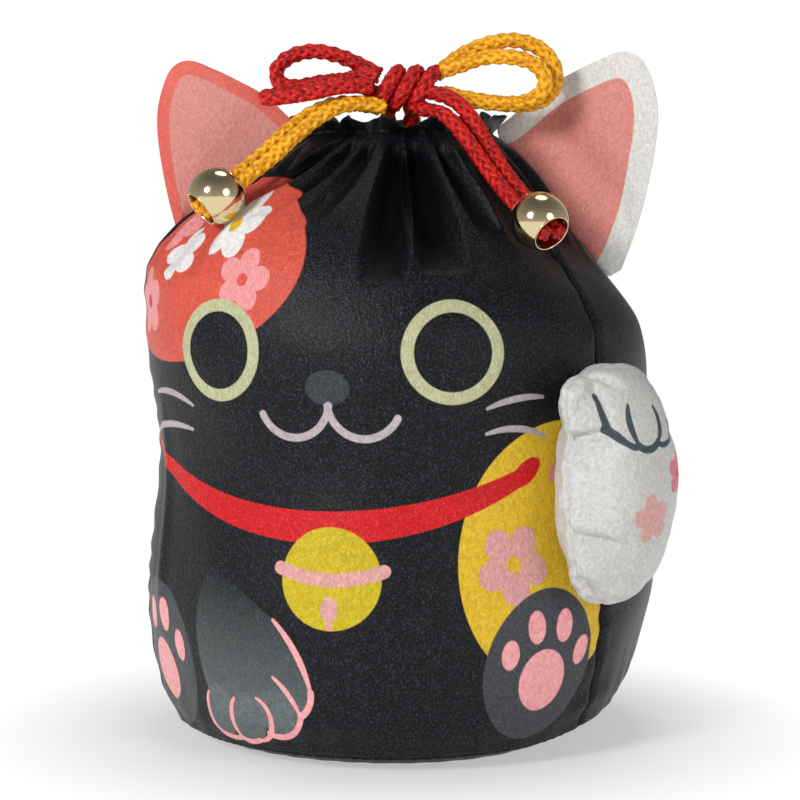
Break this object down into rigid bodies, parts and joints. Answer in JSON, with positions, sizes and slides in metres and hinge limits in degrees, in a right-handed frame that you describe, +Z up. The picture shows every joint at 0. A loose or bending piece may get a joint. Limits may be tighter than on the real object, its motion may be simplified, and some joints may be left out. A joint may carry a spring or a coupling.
{
  "type": "kinchaku drawstring pouch",
  "caption": "Round-based cloth drawstring pouch with a cat's face, gathered neck, sewn ears, a stuffed raised paw and bow-tied cords that end in beads",
  "frame": {"origin": "the middle of the base's underside, on the surface that the pouch stands on", "axes": "the cat's face looks along -Y, +X is at the viewer's right hand and +Z points up"},
  "size_m": [0.1348, 0.1184, 0.1631],
  "materials": {
    "black_cloth": "black crepe satin with a fine glittering grain",
    "coral_cloth": "coral satin with a paler pink printed inner ear",
    "white_cloth": "warm white satin with printed marks",
    "red_cord": "round braided red cord",
    "yellow_cord": "round braided golden yellow cord",
    "gold_bead": "polished pale gold plating"
  },
  "bodies": {
    "root": {"front_panel": "black_cloth", "back_panel": "black_cloth", "base_panel": "black_cloth", "base_piping": "black_cloth", "ear_left": "coral_cloth", "ear_right": "white_cloth", "beckoning_paw": "white_cloth", "red_drawstring": "red_cord", "yellow_drawstring": "yellow_cord", "bow_knot": "red_cord", "red_loop_a": "red_cord", "red_loop_b": "red_cord", "yellow_loop_a": "yellow_cord", "yellow_loop_b": "yellow_cord", "red_tail_a": "red_cord", "red_tail_b": "red_cord", "yellow_tail_a": "yellow_cord", "yellow_tail_b": "yellow_cord", "bead_left": "gold_bead", "bead_right": "gold_bead"}
  },
  "joints": []
}
